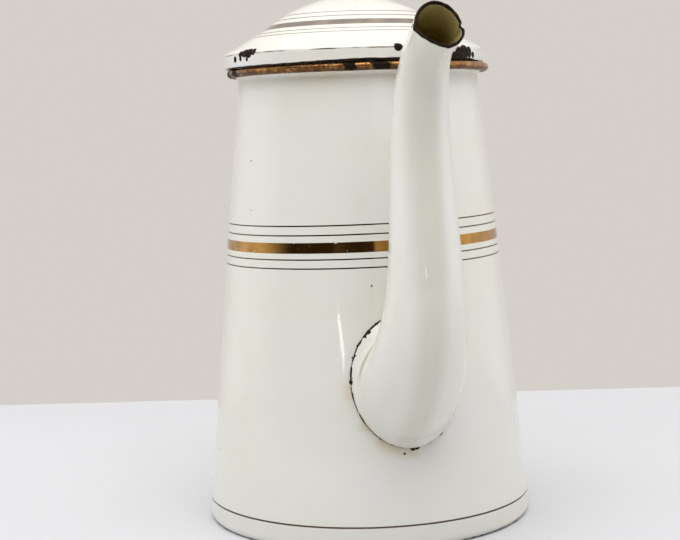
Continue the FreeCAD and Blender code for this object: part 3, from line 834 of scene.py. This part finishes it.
def make_spout(material):
    around, rows = 192, 150
    turns = [-math.pi + 2 * math.pi * (j + 0.5) / around for j in range(around)]
    outer = spout_generators(0.0, turns, rows)
    inner = spout_generators(SHEET, turns, rows)
    flare_length = 8.0
    rings = [[root_point(t, 0.0) for t in turns], [root_point(t, 0.75 * SHEET) for t in turns]]
    from_lip = [[99.0] * around, [99.0] * around]
    crease = [[0.0] * around, [0.0] * around]
    for i in range(rows + 1):
        ring, marks, painted_shade = [], [], []
        for j, turn in enumerate(turns):
            point = outer[j][i]
            climbed = max(0.0, outside_wall(point))
            # tan painted shade in the crease between flange and tube
            painted_shade.append(crease_shade(turn, climbed))
            share = max(0.0, 1.0 - climbed / flare_length) ** 2.6
            edge = root_point(turn, SHEET)
            tucked = edge.lerp(outer[j][0], 0.06)
            ring.append(point + (on_wall(tucked, SHEET) - outer[j][0]) * share)
            marks.append((outer[j][rows] - point).length)
        rings.append(ring)
        from_lip.append(marks)
        crease.append(painted_shade)
    lip = []
    for j in range(around):
        along = (outer[j][rows] - outer[j][rows - 2]).normalized()
        ragged = 0.35 * noise.noise(outer[j][rows] / 1.7) + 0.2 * noise.noise(outer[j][rows] / 5.0)
        lip.append(outer[j][rows].lerp(inner[j][rows], 0.5) + along * (0.45 + ragged))
        rings[-1][j] = rings[-1][j] + along * ragged
    rings.append(lip)
    from_lip.append([0.0] * around)
    outer_count = len(rings)
    for i in range(rows, -1, -1):
        rings.append([inner[j][i] for j in range(around)])
        from_lip.append([(inner[j][rows] - inner[j][i]).length for j in range(around)])
    flags = [0.0] * (outer_count * around) + [1.0] * ((len(rings) - outer_count) * around)
    marks = [value for row in from_lip for value in row]
    painted_shade = [value for row in crease for value in row]
    painted_shade += [0.0] * (len(marks) - len(painted_shade))
    spout = grid_mesh("spout_skin", rings, True, {"from_lip": marks, "inside": flags, "crease": painted_shade})
    finish_piece(spout, "pot", material, ("spout_left", "spout_right"))


def handle_ring(values, outline):
    distance, height, travel = values
    angle = math.radians(travel)
    return [Vector((a, distance - d * math.sin(angle), height + d * math.cos(angle))) for a, d in outline]


def handle_outline():
    """Half-round channel closed by a flat strip, with a fine groove at each edge of the strip."""
    half, depth = HANDLE_HALF_WIDTH, HANDLE_DEPTH
    steps = 30
    outline = []
    for k in range(steps + 1):
        turn = math.pi * k / steps
        rise = depth * math.sin(turn) ** 0.8 if 0 < k < steps else 0.0
        outline.append((half * math.cos(turn), rise))
    strip = [(-half + 0.35, -0.25), (-half + 0.15, -0.5), (-half + 0.5, -1.0), (-half + 1.2, -SHEET)]
    flat = straight((-half + 2.5, -SHEET), (half - 2.5, -SHEET), 10) + [(half - 2.5, -SHEET)]
    return outline + strip + flat + [(-x, y) for x, y in strip[::-1]]


def make_handle(material):
    outline = handle_outline()
    values = smooth_curve(HANDLE_STATIONS, 12)
    rings = [handle_ring(v, outline) for v in values]
    rows = 130
    lines = []
    for j in range(len(outline)):
        cut = trimmed([ring[j] for ring in rings], rows, True)
        lines.append(trimmed(cut, rows))
    flare_length, flare = 4.0, 2.2
    shaped = []
    for i in range(rows + 1):
        ring = [line[i] for line in lines]
        middle = sum(ring, Vector()) / len(ring)
        moved = []
        for point in ring:
            climbed = max(0.0, outside_wall(point))
            share = max(0.0, 1.0 - climbed / flare_length) ** 2.4
            spread = (point - middle).normalized() * flare * share
            target = point + spread
            moved.append(on_wall(target, climbed) if share > 0 else target)
        shaped.append(moved)
    middles = [sum(shaped[k], Vector()) / len(outline) for k in (0, -1)]
    caps = [[on_wall(p.lerp(middles[k], 0.97), 0.0) for p in shaped[-k]] for k in (0, 1)]
    handle = grid_mesh("handle_skin", [caps[0]] + shaped + [caps[1]], False)
    fill_holes(handle)
    finish_piece(handle, "pot", material, ("handle_shell", "handle_liner"))


def fill_holes(piece):
    work = bmesh.new()
    work.from_mesh(piece.data)
    bmesh.ops.holes_fill(work, edges=[e for e in work.edges if e.is_boundary], sides=0)
    bmesh.ops.recalc_face_normals(work, faces=work.faces)
    work.to_mesh(piece.data)
    work.free()


# ---------------------------------------------------------------- lid and knob

def lid_profile():
    """Band, rounded shoulder and dome outside, and the same one sheet lower inside."""
    bottom = arc((LID_RADIUS - 0.5, LID_BOTTOM + 0.5), 0.5, -90, 0, 3)
    band = straight((LID_RADIUS, LID_BOTTOM + 1), (LID_RADIUS, LID_SHOULDER - 1.2), 5)
    shoulder = [(LID_RADIUS, LID_SHOULDER - 1.2), (LID_RADIUS - 0.15, LID_SHOULDER - 0.2),
                (LID_RADIUS - 0.75, LID_SHOULDER + 0.6)]
    dome = smooth_curve(shoulder + LID_DOME + [(0.0, LID_TOP)], 8)
    outside = [tuple(p) for p in dome]
    inside = [(0.0, LID_TOP - SHEET)]
    for radius, height in LID_DOME[::-1]:
        inside.append((radius - (0.8 if radius > 50 else 0.4), height - SHEET * 1.1))
    inner = [tuple(p) for p in smooth_curve(inside, 4)]
    hem = straight((LID_RADIUS - SHEET, LID_SHOULDER - 1.2), (LID_RADIUS - SHEET, LID_BOTTOM + 0.4), 4)
    return bottom + band + outside + inner + hem + [(LID_RADIUS - SHEET, LID_BOTTOM + 0.4)]


def make_lid(material):
    lid = revolve("lid_skin", lid_profile(), 300, LID_X, unevenness=(40.0, 0.18))
    finish_piece(lid, "lid", material, ("lid_shell",))


def make_knob(material):
    centre = 0.5 * (KNOB_LOW.z + KNOB_HIGH.z)
    across = 0.5 * (KNOB_HIGH.x - KNOB_LOW.x)
    tall = 0.5 * (KNOB_HIGH.z - KNOB_LOW.z)
    ball = []
    for k in range(41):
        turn = math.pi * (k / 40 - 0.5)
        ball.append((across * math.cos(turn) if 0 < k < 40 else 0.0, centre + tall * math.sin(turn)))
    knob = revolve("knob_skin", ball, 96, LID_X, unevenness=(12.0, 0.08))
    finish_piece(knob, "lid", material, ("knob_cap", "knob_cup"))
    foot = 0.5 * (KNOB_FOOT_HIGH.x - KNOB_FOOT_LOW.x)
    base, top = KNOB_FOOT_LOW.z, KNOB_LOW.z + 1.6
    waist = 0.45 * foot + 1.8
    side = [(foot + 1.2, base - 0.3), (foot, base + 0.5), (waist + 0.5, 0.5 * (base + top)), (waist, top)]
    collar = [(0.0, base - 0.3)] + [tuple(p) for p in smooth_curve(side, 8)] + [(0.0, top)]
    neck = revolve("knob_collar", collar, 96, LID_X)
    finish_piece(neck, "lid", material, ("knob_foot",))


# ---------------------------------------------------------------- small pieces from the CAD

COAT_GRAIN = 0.3          # voxel that rounds the edges of the coated pieces


def coated(name, node, voxel):
    """Copy of a CAD node's mesh with the soft edges that a coat of enamel gives it."""
    piece = bpy.data.objects.new(name, frame["nodes"][node].data.copy())
    bpy.context.scene.collection.objects.link(piece)
    remesh = piece.modifiers.new("coat", "REMESH")
    remesh.mode = "VOXEL"
    remesh.voxel_size = voxel * MM
    smooth = piece.modifiers.new("soften", "SMOOTH")
    smooth.iterations = 5
    smooth.factor = 0.5
    apply_modifiers(piece)
    for face in piece.data.polygons:
        face.use_smooth = True
    return piece


COATED_PIECES = [
    ("bracket_skin", "hinge_bracket", "pot"),
    ("bracket_rivet_skin", "bracket_rivets", "pot"),
    ("leaf_skin", "lid_leaf", "lid"),
    ("leaf_rivet_skin", "leaf_rivets", "lid"),
]


def make_small_pieces(plain, steel):
    for name, node, body in COATED_PIECES:
        finish_piece(coated(name, node, COAT_GRAIN), body, plain, (node,))
    dress("lid_skirt", plain)
    for node in ("rim_wire", "hinge_pin", "knob_washer", "knob_rivet"):
        dress(node, steel)


def dress(node, material):
    """Gives a CAD node that stays in view its material."""
    mesh = frame["nodes"][node].data
    mesh.materials.clear()
    mesh.materials.append(material)
    for face in mesh.polygons:
        face.use_smooth = True
    mesh.set_sharp_from_angle(angle=math.radians(35))


# ---------------------------------------------------------------- camera, light and floor

SPOUT_AZIMUTH = 15.0      # the spout points this far to the right of the line of sight
CAMERA_DISTANCE = 667.0   # from the pot's axis
CAMERA_HEIGHT = 173.4
CAMERA_YAW = -0.90
CAMERA_PITCH = 5.47
CAMERA_ROLL = -1.72
CAMERA_LENS = 78.6


def make_camera():
    turn = math.radians(-SPOUT_AZIMUTH)
    yaw, pitch, roll = (math.radians(a) for a in (CAMERA_YAW, CAMERA_PITCH, CAMERA_ROLL))
    forward = Vector((math.sin(yaw) * math.cos(pitch), math.cos(yaw) * math.cos(pitch), -math.sin(pitch)))
    level_right = Vector((math.cos(yaw), -math.sin(yaw), 0.0))
    level_up = level_right.cross(forward)
    right = level_right * math.cos(roll) + level_up * math.sin(roll)
    up = level_up * math.cos(roll) - level_right * math.sin(roll)
    axes = Matrix((right, up, -forward)).transposed().to_4x4()
    place = Matrix.Translation(Vector((0.0, -CAMERA_DISTANCE, CAMERA_HEIGHT)) * MM)
    camera = bpy.data.objects.new("camera", bpy.data.cameras.new("camera"))
    camera.data.lens = CAMERA_LENS
    camera.data.sensor_width = 36.0
    camera.data.clip_start = 0.01
    camera.matrix_world = Matrix.Rotation(turn, 4, "Z") @ place @ axes
    bpy.context.scene.collection.objects.link(camera)
    bpy.context.scene.camera = camera


def area_light(name, azimuth, elevation, distance, size, power, tilt=0.0):
    """White box that faces the pot's middle; azimuth 0 is the camera's side, 90 its right."""
    angle = math.radians(azimuth - SPOUT_AZIMUTH)
    rise = math.radians(elevation)
    aim = Vector((0, 0, 120 * MM))
    away = Vector((math.sin(angle) * math.cos(rise), -math.cos(angle) * math.cos(rise), math.sin(rise)))
    light = bpy.data.objects.new(name, bpy.data.lights.new(name, "AREA"))
    light.data.shape = "RECTANGLE"
    light.data.size, light.data.size_y = size
    light.data.energy = power
    light.location = aim + away * distance
    light.rotation_mode = "QUATERNION"
    light.rotation_quaternion = (-away).to_track_quat("-Z", "Y") @ Quaternion((0, 0, 1), math.radians(tilt))
    bpy.context.scene.collection.objects.link(light)


def make_world():
    """Soft room light from the sides, a plain backdrop, and a dim room behind the camera."""
    world = bpy.data.worlds.new("studio")
    world.use_nodes = True
    tree = world.node_tree
    coordinates = tree.nodes.new("ShaderNodeTexCoord")
    facing = tree.nodes.new("ShaderNodeVectorMath")
    facing.operation = "DOT_PRODUCT"
    angle = math.radians(SPOUT_AZIMUTH)
    facing.inputs[1].default_value = (-math.sin(angle), -math.cos(angle), 0.0)
    tree.links.new(coordinates.outputs["Generated"], facing.inputs[0])
    side = world_blend(tree, facing.outputs["Value"], (-0.90, -0.45), BACKDROP, SIDE_LIGHT)
    colour = world_blend(tree, facing.outputs["Value"], (-0.15, 0.50), side, DIM_ROOM)
    tree.links.new(colour, tree.nodes["Background"].inputs["Color"])
    bpy.context.scene.world = world


BACKDROP = (0.665, 0.625, 0.585, 1.0)
SIDE_LIGHT = (1.12, 1.11, 1.08, 1.0)
DIM_ROOM = (0.05, 0.04, 0.035, 1.0)


def world_blend(tree, value, limits, low, high):
    """Colour that runs smoothly from low to high between two limits of a value."""
    share = tree.nodes.new("ShaderNodeMapRange")
    share.interpolation_type = "SMOOTHSTEP"
    share.inputs["From Min"].default_value, share.inputs["From Max"].default_value = limits
    tree.links.new(value, share.inputs["Value"])
    mixed = tree.nodes.new("ShaderNodeMix")
    mixed.data_type = "RGBA"
    tree.links.new(share.outputs["Result"], mixed.inputs[0])
    for socket, tone in ((mixed.inputs[6], low), (mixed.inputs[7], high)):
        if isinstance(tone, tuple):
            socket.default_value = tone
        else:
            tree.links.new(tone, socket)
    return mixed.outputs[2]


def make_floor(material):
    """Pale table top that ends behind the pot. Its reaches are in metres from the pot's axis."""
    side, front, back = 2.5, -2.5, 0.285
    corners = [(-side, front, 0), (side, front, 0), (side, back, 0), (-side, back, 0)]
    turn = Matrix.Rotation(math.radians(-SPOUT_AZIMUTH), 3, "Z")
    top = bpy.data.meshes.new("floor")
    top.from_pydata([turn @ Vector(c) for c in corners], [], [(0, 1, 2, 3)])
    top.materials.append(material)
    floor = bpy.data.objects.new("floor", top)
    bpy.context.scene.collection.objects.link(floor)


def make_studio(floor_material):
    make_floor(floor_material)
    make_world()
    bpy.context.scene.view_settings.view_transform = "Standard"
    area_light("overhead", -5, 62, 1.7, (2.4, 1.8), 36)
    area_light("lamp", -18.6, 1.8, 1.5, (0.125, 0.005), 0.09, -25.5)
    area_light("strip", 56, 8, 1.5, (0.07, 1.1), 0.6)


def main():
    make_camera()
    make_pot(pot_enamel())
    make_bead(gilt_rim())
    make_spout(spout_enamel())
    make_lid(lid_enamel())
    plain = enamel("plain_enamel", seed=4.0)
    make_handle(plain)
    make_knob(plain)
    make_small_pieces(plain, dull_steel())
    make_studio(pale_floor())


main()
